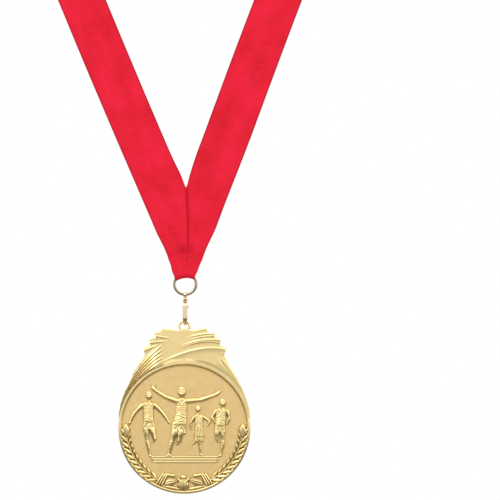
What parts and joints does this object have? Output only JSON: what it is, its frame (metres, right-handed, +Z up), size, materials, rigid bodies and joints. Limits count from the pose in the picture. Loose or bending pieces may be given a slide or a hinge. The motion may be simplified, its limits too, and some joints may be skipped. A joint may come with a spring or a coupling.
{
  "type": "award medal on neck ribbon",
  "caption": "Award medal with runners in relief and a leaf wreath, hung by a snap hook and a jump ring from a V of woven neck ribbon.",
  "frame": {"origin": "middle of the ribbon at the nape of the neck, where the medal is held up", "axes": "+Z up, +X to the right as the front is seen, the medal's front faces -Y"},
  "size_m": [0.1958, 0.0838, 0.4266],
  "materials": {
    "ribbon": "woven satin-faced polyester with fine cross ribs",
    "thread": "polyester sewing thread",
    "ring_wire": "bright pale gold-flashed steel wire",
    "hook_plate": "polished light gold plate on stamped steel",
    "medal_gold": "gold-plated zinc casting, polished relief on a sand-textured field"
  },
  "bodies": {
    "ribbon": {"ribbon_band": "ribbon", "seam_stitching": "thread"},
    "ribbon_tip": {"ribbon_fold": "ribbon", "bar_stitching": "thread"},
    "ring": {"jump_ring": "ring_wire"},
    "swivel": {"swivel_eye": "hook_plate"},
    "hook": {"hook_body": "hook_plate", "gate_rivet": "hook_plate"},
    "gate": {"gate_leaf": "hook_plate"},
    "medal": {"medal_casting": "medal_gold"}
  },
  "joints": [
    {"name": "ribbon_flex", "type": "hinge", "parent": "ribbon", "child": "ribbon_tip", "pos_m": [0, -0.07513, -0.29945], "axis": [1, 0, 0], "range_deg": [-40, 40]},
    {"name": "ring_spin", "type": "hinge", "parent": "ribbon_tip", "child": "ring", "pos_m": [0, -0.07513, -0.31345], "axis": [0, 1, 0], "range_deg": [-60, 60]},
    {"name": "eye_swing", "type": "hinge", "parent": "ring", "child": "swivel", "pos_m": [0, -0.07513, -0.3188], "axis": [1, 0, 0], "range_deg": [-75, 75]},
    {"name": "hook_swivel", "type": "hinge", "parent": "swivel", "child": "hook", "pos_m": [0, -0.07513, -0.32295], "axis": [0, 0, 1], "continuous": true},
    {"name": "gate_open", "type": "hinge", "parent": "hook", "child": "gate", "pos_m": [0, -0.07273, -0.3248], "axis": [-1, 0, 0], "range_deg": [0, 25], "stiffness_Nm_per_rad": 0.001, "springref_deg": -11.46},
    {"name": "medal_tilt", "type": "hinge", "parent": "hook", "child": "medal", "pos_m": [0, -0.07513, -0.3318], "axis": [1, 0, 0], "range_deg": [-60, 60]}
  ]
}
